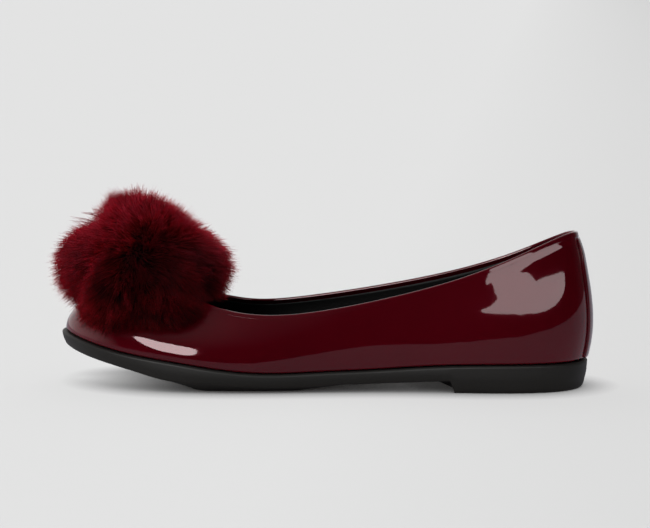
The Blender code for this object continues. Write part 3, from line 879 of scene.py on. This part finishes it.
def tips_of_locks():
    """Way from each point of the core to the tip of a hair that grows there."""
    chance = np.random.default_rng(LOCK_SEED)
    ways = unit(chance.normal(size=(LOCKS, 3)))
    reach = pompom_reach(ways) + HAIR_PAST_SURFACE + chance.normal(0, LOCK_LENGTH_SPREAD, LOCKS)
    lock_tips = POMPOM_CENTRE + ways * reach[:, None]
    nearest = np.argmax(core_ways @ ways.T, axis=1)
    own = POMPOM_CENTRE + core_ways * (pompom_reach(core_ways) + HAIR_PAST_SURFACE)[:, None]
    tips = own + (lock_tips[nearest] - own) * LOCK_PULL
    for swirl in range(SWIRLS):
        wave = chance.normal(0, 2 * math.pi / SWIRL_WIDTH, 3)
        lean = np.cross(core_ways, unit(chance.normal(size=3)))
        tips += SWIRL_REACH * np.sin(own @ wave + chance.uniform(0, 2 * math.pi))[:, None] * lean
    tips[:, 2] -= HAIR_DROOP
    return lifted_off_shoe(tips, np.full(len(tips), HAIR_CLEARANCE))[0] - core_points


def carry(mesh, ways, shares):
    """Store on each point of a mesh the way of its hair, and the share of hairs that grow there."""
    way = mesh.attributes.new("hair_way", "FLOAT_VECTOR", "POINT")
    way.data.foreach_set("vector", ways.astype(np.float32).ravel())
    share = mesh.attributes.new("hair_share", "FLOAT", "POINT")
    share.data.foreach_set("value", shares.astype(np.float32))


hair_ways = tips_of_locks()
carry(pompom_core.data, hair_ways, np.where(core_deep, 0.0, 1.0))
print("mean hair length in mm:", round(float(np.linalg.norm(hair_ways, axis=1).mean()) * 1000, 1))

# %% [markdown]
# The hairs are a Geometry Nodes tree. It scatters roots over the core, stands a line on each, lays the line
# along the way that the core carries, and gives it a three-sided section that narrows to the tip. A hair
# system would render as well, but the exported model keeps only meshes.

# %% Dyed fur
# Rabbit hair, dyed clear red at the thin tip, with painted shade: near black at the root where no light gets
# in.
FUR_ROOT_SHADE = "#100102"
FUR_TIP = "#52090F"
FUR_PALE = "#66171D"
FUR_FADE = 1.5
FUR_SHADE_LOW = 0.024
FUR_SHADE_HIGH = 0.064
FUR_SHADE_LOW_SHARE = 0.18
FUR_ROUGHNESS = 0.7
FUR_SHINE = 0.05
FUR_GLOW_WEIGHT = 0.7
FUR_GLOW_DEPTH = 0.002
FUR_GLOW_COLOURS = (1.0, 0.15, 0.2)


def make_fur(name):
    """Dyed hair, red at the tip with paler hairs among the rest; dark root and low hairs are painted shade.
    """
    material, tree, shader = new_material(name)
    along = add_node(tree, "ShaderNodeAttribute", attribute_name="along_hair").outputs["Fac"]
    tint = add_node(tree, "ShaderNodeAttribute", attribute_name="hair_tint").outputs["Fac"]
    tip = add_node(tree, "ShaderNodeMix", {MIX_FIRST: linear(FUR_TIP), MIX_SECOND: linear(FUR_PALE)},
                   {MIX_FACTOR: tint}, data_type="RGBA")
    fade = add_node(tree, "ShaderNodeMath", {1: FUR_FADE}, {0: along}, operation="POWER")
    place = add_node(tree, "ShaderNodeTexCoord").outputs["Object"]
    height = add_node(tree, "ShaderNodeSeparateXYZ", links={"Vector": place}).outputs["Z"]
    # painted shade: hairs low on the ball, near the vamp, are darkened
    shade_by_height = add_node(tree, "ShaderNodeMapRange",
                        {"From Min": FUR_SHADE_LOW, "From Max": FUR_SHADE_HIGH, "To Min": FUR_SHADE_LOW_SHARE},
                        {"Value": height})
    bright = add_node(tree, "ShaderNodeMath", links={0: fade, 1: shade_by_height}, operation="MULTIPLY")
    # painted shade: each hair darkens from its red tip to a near black root
    tone = add_node(tree, "ShaderNodeMix", {MIX_FIRST: linear(FUR_ROOT_SHADE)},
                    {MIX_FACTOR: bright, MIX_SECOND: tip}, data_type="RGBA")
    fill(tree, shader,
         {"Roughness": FUR_ROUGHNESS, "Specular IOR Level": FUR_SHINE,
          "Subsurface Weight": FUR_GLOW_WEIGHT, "Subsurface Scale": FUR_GLOW_DEPTH,
          "Subsurface Radius": FUR_GLOW_COLOURS}, {"Base Color": tone})
    return material


dyed_fur = make_fur("dyed_burgundy_fur")
print("made", dyed_fur.name)

# %% Tree of nodes for hairs
HAIR_POINTS = 4
HAIR_SIDES = 3
RANDOM_LEAST, RANDOM_MOST = 2, 3
Coat = namedtuple("Coat", "name density root_radius tip_radius shortest longest stray arch seed")


def hair_tree():
    """Geometry Nodes that grow hairs from a mesh which carries hair_way and hair_share."""
    tree = bpy.data.node_groups.new("grow hairs", "GeometryNodeTree")
    sockets = {"mesh": "Geometry", "seed": "Int", "material": "Material"}
    sockets.update({size: "Float" for size in Coat._fields[1:-1]})
    for name, kind in sockets.items():
        tree.interface.new_socket(name, in_out="INPUT", socket_type="NodeSocket" + kind)
    tree.interface.new_socket("hairs", in_out="OUTPUT", socket_type="NodeSocketGeometry")
    given = add_node(tree, "NodeGroupInput").outputs
    grows = add_node(tree, "GeometryNodeInputNamedAttribute", {"Name": "hair_share"}, data_type="FLOAT")
    share = add_node(tree, "ShaderNodeMath", {}, {0: grows, 1: given["density"]}, operation="MULTIPLY")
    roots = add_node(tree, "GeometryNodeDistributePointsOnFaces", {},
                     {"Mesh": given["mesh"], "Density": share, "Seed": given["seed"]})
    scale = add_node(tree, "FunctionNodeRandomValue", {},
                     {RANDOM_LEAST: given["shortest"], RANDOM_MOST: given["longest"], "Seed": given["seed"]},
                     data_type="FLOAT")
    stray = add_node(tree, "FunctionNodeRandomValue", {0: (-1, -1, -1), 1: (1, 1, 1)},
                     {"Seed": given["seed"]}, data_type="FLOAT_VECTOR")
    stray_way = add_node(tree, "ShaderNodeVectorMath", {}, {0: stray, "Scale": given["stray"]},
                         operation="SCALE")
    combed = add_node(tree, "GeometryNodeInputNamedAttribute", {"Name": "hair_way"}, data_type="FLOAT_VECTOR")
    long_way = add_node(tree, "ShaderNodeVectorMath", {}, {0: combed, "Scale": scale}, operation="SCALE")
    way = add_node(tree, "ShaderNodeVectorMath", {}, {0: long_way, 1: stray_way}, operation="ADD")
    tint = add_node(tree, "FunctionNodeRandomValue", {RANDOM_LEAST: 0.0, RANDOM_MOST: 1.0},
                    {"Seed": given["seed"]}, data_type="FLOAT")
    with_way = add_node(tree, "GeometryNodeStoreNamedAttribute", {"Name": "own_way"},
                        {"Geometry": roots, "Value": way}, data_type="FLOAT_VECTOR", domain="POINT")
    with_tint = add_node(tree, "GeometryNodeStoreNamedAttribute", {"Name": "hair_tint"},
                         {"Geometry": with_way, "Value": tint}, data_type="FLOAT", domain="POINT")
    line = add_node(tree, "GeometryNodeCurvePrimitiveLine", {"Start": (0, 0, 0), "End": (0, 0, 1)})
    points = add_node(tree, "GeometryNodeResampleCurve", {"Count": HAIR_POINTS}, {"Curve": line})
    stood = add_node(tree, "GeometryNodeInstanceOnPoints", {}, {"Points": with_tint, "Instance": points})
    lines = add_node(tree, "GeometryNodeRealizeInstances", {}, {0: stood})
    along = add_node(tree, "GeometryNodeSplineParameter").outputs["Factor"]
    marked = add_node(tree, "GeometryNodeStoreNamedAttribute", {"Name": "along_hair"},
                      {"Geometry": lines, "Value": along}, data_type="FLOAT", domain="POINT")
    own = add_node(tree, "GeometryNodeInputNamedAttribute", {"Name": "own_way"}, data_type="FLOAT_VECTOR")
    ahead = add_node(tree, "ShaderNodeVectorMath", {}, {0: own, "Scale": along}, operation="SCALE")
    left = add_node(tree, "ShaderNodeMath", {0: 1.0}, {1: along}, operation="SUBTRACT")
    bow = add_node(tree, "ShaderNodeMath", {}, {0: along, 1: left}, operation="MULTIPLY")
    bowed = add_node(tree, "ShaderNodeMath", {}, {0: bow, 1: given["arch"]}, operation="MULTIPLY")
    # the line that stands on each root is a metre tall, so its own height is taken off again here
    rise = add_node(tree, "ShaderNodeMath", {}, {0: bowed, 1: along}, operation="SUBTRACT")
    upward = add_node(tree, "ShaderNodeCombineXYZ", {}, {"Z": rise})
    offset = add_node(tree, "ShaderNodeVectorMath", {}, {0: ahead, 1: upward}, operation="ADD")
    bent = add_node(tree, "GeometryNodeSetPosition", {}, {"Geometry": marked, "Offset": offset})
    thick = add_node(tree, "ShaderNodeMapRange", {},
                     {"Value": along, "To Min": given["root_radius"], "To Max": given["tip_radius"]})
    ring = add_node(tree, "GeometryNodeCurvePrimitiveCircle", {"Resolution": HAIR_SIDES, "Radius": 1.0})
    solid = add_node(tree, "GeometryNodeCurveToMesh", {"Fill Caps": True},
                     {"Curve": bent, "Profile Curve": ring, "Scale": thick})
    smooth = add_node(tree, "GeometryNodeSetShadeSmooth", {}, {"Geometry": solid})
    whole = add_node(tree, "GeometryNodeRealizeInstances", {}, {0: smooth})
    coloured = add_node(tree, "GeometryNodeSetMaterial", {},
                        {"Geometry": whole, "Material": given["material"]})
    add_node(tree, "NodeGroupOutput", {}, {"hairs": coloured})
    return tree


grow_hairs = hair_tree()
print("nodes in the hair tree:", len(grow_hairs.nodes))


# %% Grow the fur
def grown(coat, source):
    """Grow one coat of hairs on a copy of a mesh that carries their ways, and keep it as a plain mesh."""
    inputs = {**coat._asdict(), "material": dyed_fur}
    carrier = placed(coat.name + "_carrier", source.data)
    modifier = carrier.modifiers.new("grow", "NODES")
    modifier.node_group = grow_hairs
    for item in grow_hairs.interface.items_tree:
        if item.in_out == "INPUT" and item.name in inputs:
            modifier[item.identifier] = inputs[item.name]
    seen = bpy.context.evaluated_depsgraph_get()
    mesh = bpy.data.meshes.new_from_object(carrier.evaluated_get(seen))
    mesh.name = coat.name
    carrier.modifiers.remove(modifier)
    bpy.data.objects.remove(carrier)
    piece = placed(coat.name, mesh)
    print(coat.name, "triangles:", triangles(piece))
    return piece


FUR_COATS = [
    Coat("fur_under", 0.95e6, 0.00017, 0.000050, 0.62, 0.88, 0.0016, 0.002, 3),
    Coat("fur_main_near", 1.05e6, 0.00014, 0.000035, 0.82, 1.02, 0.0016, 0.002, 5),
    Coat("fur_main_far", 1.05e6, 0.00014, 0.000035, 0.82, 1.02, 0.0016, 0.002, 8),
    Coat("fur_guard", 0.85e6, 0.00010, 0.000020, 0.94, 1.12, 0.0022, 0.001, 13),
]
fur_pieces = [grown(coat, pompom_core) for coat in FUR_COATS]
# painted shade: the core has no along_hair, so it takes the near black root colour all over
dressed(pompom_core, dyed_fur)

# %% [markdown]
# Where two lobes of the ball part, at its upper left, a few wisps stand loose in the gap. Each is a small
# bunch of hairs that leans from a tiny patch to one tip, so the same tree grows them from a mesh of patches.

# %% Loose wisps
Wisp = namedtuple("Wisp", "root_along root_up tip_along tip_up across")
WISPS = [
    Wisp(-0.0165, 0.0175, -0.0325, 0.0215, -0.006),
    Wisp(-0.0175, 0.0165, -0.0335, 0.0195, -0.002),
    Wisp(-0.0160, 0.0190, -0.0290, 0.0232, 0.001),
    Wisp(-0.0155, 0.0200, -0.0255, 0.0240, -0.004),
    Wisp(-0.0150, 0.0215, -0.0225, 0.0262, -0.007),
    Wisp(-0.0180, 0.0155, -0.0275, 0.0185, -0.008),
]
WISP_PATCH = 0.0009
PATCH_CORNERS = 3
WISP_COAT = Coat("fur_wisps", 1.0e7, 0.00009, 0.000020, 0.80, 1.05, 0.0005, 0.003, 21)


def make_wisp_patches():
    """Three-cornered patches, one for each wisp, whose corners all lean to the wisp's tip."""
    turns = np.linspace(0, 2 * math.pi, PATCH_CORNERS, endpoint=False)
    level = np.zeros(PATCH_CORNERS)
    corners = []
    ways = []
    for wisp in WISPS:
        root = POMPOM_CENTRE + [wisp.root_along, wisp.across, wisp.root_up]
        tip = POMPOM_CENTRE + [wisp.tip_along, wisp.across, wisp.tip_up]
        patch = root + WISP_PATCH * np.column_stack([level, np.cos(turns), np.sin(turns)])
        corners.extend(patch)
        ways.extend(tip - patch)
    mesh = bpy.data.meshes.new("wisp_patches")
    mesh.from_pydata(corners, [], np.arange(len(corners)).reshape(-1, PATCH_CORNERS).tolist())
    carry(mesh, np.array(ways), np.ones(len(corners)))
    return bpy.data.objects.new("wisp_patches", mesh)


wisp_patches = make_wisp_patches()
fur_pieces.append(grown(WISP_COAT, wisp_patches))
bpy.data.objects.remove(wisp_patches)

# %% [markdown]
# Every piece now rides on the shoe, which has no moving parts and so is one body. Where a piece stands for
# a CAD solid, the solid is hidden.

# %% Attach each piece and hide the solid it stands for
Role = namedtuple("Role", "piece slot replaces")
ROLES = [
    Role(upper_leather, "patent_leather", "upper"),
    Role(upper_lining, "lining_leather", None),
    Role(topline_binding, "binding_leather", "topline_binding"),
    Role(back_strip, "strip_leather", "back_strip"),
    Role(rubber_sole, "sole_rubber", "outsole"),
    Role(leather_sock, "lining_leather", "insole"),
    Role(pompom_core, "pompom_fur", "pompom"),
] + [Role(piece, "pompom_fur", None) for piece in fur_pieces]
for role in ROLES:
    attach(role.piece, "root")
    if role.replaces:
        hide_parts(role.replaces)
print("pieces:", len(ROLES), "triangles in all:", sum(triangles(role.piece) for role in ROLES))

# %% [markdown]
# The studio is a wide pale floor under soft light. Behind the shoe the room is bright, and in front of it
# dark, because that is what lacquered leather mirrors: a pale band low on its side and deep colour above it.
# A real floor would throw much light up under the fur. Here it is pale for the camera and greyer for the
# shoe, a short reach of occlusion paints the contact shadow under the sole, and the floor is painted a
# little darker to the right as shade.

# %% Floor
FLOOR_SIZE = 60.0
FLOOR_LIT_LEFT = "#A6A6A6"
FLOOR_SHADED_RIGHT = "#9C9C9C"
FLOOR_MIRRORED = "#6C6C72"
FLOOR_BOUNCE = "#868480"
FLOOR_CONTACT_SHADOW = "#0C0A09"
FLOOR_SHADE_FROM = 0.0
FLOOR_SHADE_TO = 0.32
CONTACT_REACH = 0.0172
FLOOR_ROUGHNESS = 0.9
FLOOR_SHINE = 0.0


def make_floor():
    """Wide pale floor with painted shade, a little darker to the right and dark where the shoe all but
    touches it.
    """
    bm = bmesh.new()
    bmesh.ops.create_grid(bm, x_segments=1, y_segments=1, size=FLOOR_SIZE / 2)
    mesh = bpy.data.meshes.new("floor")
    bm.to_mesh(mesh)
    bm.free()
    floor = placed("floor", mesh)
    material, tree, shader = new_material("pale_floor")
    place = add_node(tree, "ShaderNodeTexCoord").outputs["Object"]
    across = add_node(tree, "ShaderNodeSeparateXYZ", links={"Vector": place}).outputs["X"]
    # painted shade: the floor turns a little darker towards the right
    fade = add_node(tree, "ShaderNodeMapRange", {"From Min": FLOOR_SHADE_FROM, "From Max": FLOOR_SHADE_TO},
                    {"Value": across})
    lit = add_node(tree, "ShaderNodeMix", {MIX_FIRST: linear(FLOOR_LIT_LEFT), MIX_SECOND: linear(FLOOR_SHADED_RIGHT)},
                   {MIX_FACTOR: fade}, data_type="RGBA")
    ray = add_node(tree, "ShaderNodeLightPath").outputs
    unseen = add_node(tree, "ShaderNodeMix",
                      {MIX_FIRST: linear(FLOOR_BOUNCE), MIX_SECOND: linear(FLOOR_MIRRORED)},
                      {MIX_FACTOR: ray["Is Glossy Ray"]}, data_type="RGBA")
    tone = add_node(tree, "ShaderNodeMix", {},
                    {MIX_FACTOR: ray["Is Camera Ray"], MIX_FIRST: unseen, MIX_SECOND: lit},
                    data_type="RGBA")
    # painted contact shadow: occlusion within a short reach darkens the floor under and beside the shoe
    near = add_node(tree, "ShaderNodeAmbientOcclusion", {"Distance": CONTACT_REACH})
    shaded = add_node(tree, "ShaderNodeMix", {MIX_FIRST: linear(FLOOR_CONTACT_SHADOW)},
                      {MIX_FACTOR: near.outputs["AO"], MIX_SECOND: tone}, data_type="RGBA")
    fill(tree, shader, {"Roughness": FLOOR_ROUGHNESS, "Specular IOR Level": FLOOR_SHINE},
         {"Base Color": shaded})
    mesh.materials.append(material)
    return floor


floor = make_floor()

# %% [markdown]
# The room is drawn as a world: a tone for each side, and soft fades between them. Painted walls would do the
# same, but they would need to be far larger than the floor.

# %% World
WORLD_SEEN = "#E6E6E6"
WORLD_BEHIND = "#D8D8D8"
WORLD_BEHIND_RIGHT = "#343434"
WORLD_FRONT = "#0C0C0C"
WORLD_ABOVE = "#707070"
WORLD_LEFT = "#D2D2D2"
Fade = namedtuple("Fade", "towards axis begins ends")
WORLD_FADES = [
    Fade("above", "Z", 0.45, 0.95),
    Fade("left", "X", -0.75, -0.98),
    Fade("right", "X", 0.10, 0.80),
    Fade("behind", "Y", 0.05, 0.45),
]


def make_world():
    """Pale sky for the camera; to the shoe, bright behind and dark in front."""
    world = bpy.data.worlds.new("studio")
    world.use_nodes = True
    tree = world.node_tree
    shader = tree.nodes["Background"]
    way = add_node(tree, "ShaderNodeTexCoord").outputs["Generated"]
    parts = add_node(tree, "ShaderNodeSeparateXYZ", links={"Vector": way}).outputs
    share = {}
    for fade in WORLD_FADES:
        share[fade.towards] = add_node(tree, "ShaderNodeMapRange",
                                       {"From Min": fade.begins, "From Max": fade.ends},
                                       {"Value": parts[fade.axis]})
    front = add_node(tree, "ShaderNodeMix",
                     {MIX_FIRST: linear(WORLD_FRONT), MIX_SECOND: linear(WORLD_ABOVE)},
                     {MIX_FACTOR: share["above"]}, data_type="RGBA")
    side = add_node(tree, "ShaderNodeMix", {MIX_SECOND: linear(WORLD_LEFT)},
                    {MIX_FACTOR: share["left"], MIX_FIRST: front}, data_type="RGBA")
    wall = add_node(tree, "ShaderNodeMix",
                    {MIX_FIRST: linear(WORLD_BEHIND), MIX_SECOND: linear(WORLD_BEHIND_RIGHT)},
                    {MIX_FACTOR: share["right"]}, data_type="RGBA")
    room = add_node(tree, "ShaderNodeMix", {},
                    {MIX_FACTOR: share["behind"], MIX_FIRST: side, MIX_SECOND: wall}, data_type="RGBA")
    seen = add_node(tree, "ShaderNodeLightPath").outputs["Is Camera Ray"]
    shown = add_node(tree, "ShaderNodeMix", {MIX_SECOND: linear(WORLD_SEEN)},
                     {MIX_FACTOR: seen, MIX_FIRST: room}, data_type="RGBA")
    fill(tree, shader, links={"Color": shown})
    bpy.context.scene.world = world


make_world()
print("fades between the sides of the room:", len(WORLD_FADES))

# %% [markdown]
# Two suns share the work. A wide one lights the shoe alone, and a plain one the floor alone, so that no hard
# shadow crosses the pale ground. Two glowing sheets are seen only as mirror images in the lacquer: a streak
# on the toe, and a bent band on the heel.

# %% Lights
SUN_STRENGTH = 1.9
SUN_ANGLE = math.radians(110)
SUN_FROM = (-0.90, 0.50, 1.0)
FLOOR_WASH = 7.9
Softbox = namedtuple("Softbox", "name aim distance glow corners")
Corner = namedtuple("Corner", "azimuth elevation")
SOFTBOXES = [
    Softbox("left softbox", (-0.070, -0.036, 0.021), 1.2, 10.0, [
        Corner(-45, 46), Corner(-36, 31), Corner(-28, 15), Corner(-20, 9), Corner(-8, 9),
        Corner(-7, 31), Corner(-14, 37), Corner(-24, 41), Corner(-34, 47)]),
    Softbox("right softbox", (0.095, -0.024, 0.045), 0.30, 3.9, [
        Corner(-11, 17), Corner(4, 13), Corner(20, 10), Corner(44, 10), Corner(60, 12), Corner(64, 15),
        Corner(52, 17), Corner(38, 18.6), Corner(20, 20), Corner(8, 22.5), Corner(2, 36), Corner(-8, 34),
        Corner(-8, 22), Corner(-2, 19.8)]),
]
CORNER_CUTS = 2


def way_to(azimuth, elevation):
    """Unit direction at degrees round from the front and degrees above the level."""
    azimuth, elevation = np.radians([azimuth, elevation])
    level = np.cos(elevation)
    return np.stack([np.sin(azimuth) * level, -np.cos(azimuth) * level, np.sin(elevation)], axis=-1)


def make_sun(name, strength, angle, lit):
    """Light from above on some objects alone; one without an angle has no shadows."""
    light = bpy.data.lights.new(name, "SUN")
    light.energy = strength
    light.angle = angle
    light.use_shadow = angle > 0
    holder = placed(name, light)
    holder.rotation_euler = Vector(SUN_FROM).to_track_quat("Z", "Y").to_euler()
    holder.visible_glossy = False
    alone = bpy.data.collections.new(name)
    for thing in lit:
        alone.objects.link(thing)
    holder.light_linking.receiver_collection = alone


def make_softbox(box):
    """Glowing sheet that shows only in mirror images; corners are degrees round and above its aim."""
    corners = np.array(box.corners, dtype=float)
    for cut in range(CORNER_CUTS):
        ahead = np.roll(corners, -1, axis=0)
        corners = np.stack([(3 * corners + ahead) / 4, (corners + 3 * ahead) / 4], axis=1).reshape(-1, 2)
    rim = np.array(box.aim) + SHIFT + way_to(*corners.T) * box.distance
    points = np.concatenate([rim, [rim.mean(axis=0)]])
    count = len(rim)
    mesh = bpy.data.meshes.new(box.name)
    mesh.from_pydata(points.tolist(), [], [(i, (i + 1) % count, count) for i in range(count)])
    material, tree, shader = new_material(box.name)
    tree.nodes.remove(shader)
    glow = add_node(tree, "ShaderNodeEmission", {"Strength": box.glow})
    fill(tree, tree.nodes["Material Output"], links={"Surface": glow})
    mesh.materials.append(material)
    sheet = placed(box.name.replace(" ", "_"), mesh)
    sheet.visible_camera = False
    sheet.visible_diffuse = False
    sheet.visible_shadow = False


make_sun("even light", SUN_STRENGTH, SUN_ANGLE, [role.piece for role in ROLES])
make_sun("floor wash", FLOOR_WASH, 0, [floor])
for box in SOFTBOXES:
    make_softbox(box)
print("softboxes:", [box.name for box in SOFTBOXES])
bpy.context.scene.view_settings.view_transform = "Standard"

# %% [markdown]
# The camera stands where the photograph was taken from: a little to the heel's side and a little above, far
# enough away that the far topline shows just over the near one.

# %% Camera
CAMERA_AZIMUTH = 5.0
CAMERA_ELEVATION = 7.0
CAMERA_DISTANCE = 1.3
FOCAL_PIXELS = 2777.65
IMAGE_WIDTH = 650
SENSOR_WIDTH = 36.0
CAMERA_AIM = np.array([0.0, 0.0, 0.05577]) + SHIFT


def make_camera():
    """Long lens at the photograph's angle."""
    back = Vector(way_to(CAMERA_AZIMUTH, CAMERA_ELEVATION))
    data = bpy.data.cameras.new("camera")
    data.sensor_width = SENSOR_WIDTH
    data.lens = FOCAL_PIXELS * SENSOR_WIDTH / IMAGE_WIDTH
    data.clip_end = FLOOR_SIZE
    camera = placed("camera", data)
    camera.location = Vector(CAMERA_AIM) + back * CAMERA_DISTANCE
    camera.rotation_euler = (-back).to_track_quat("-Z", "Y").to_euler()
    bpy.context.scene.camera = camera


make_camera()
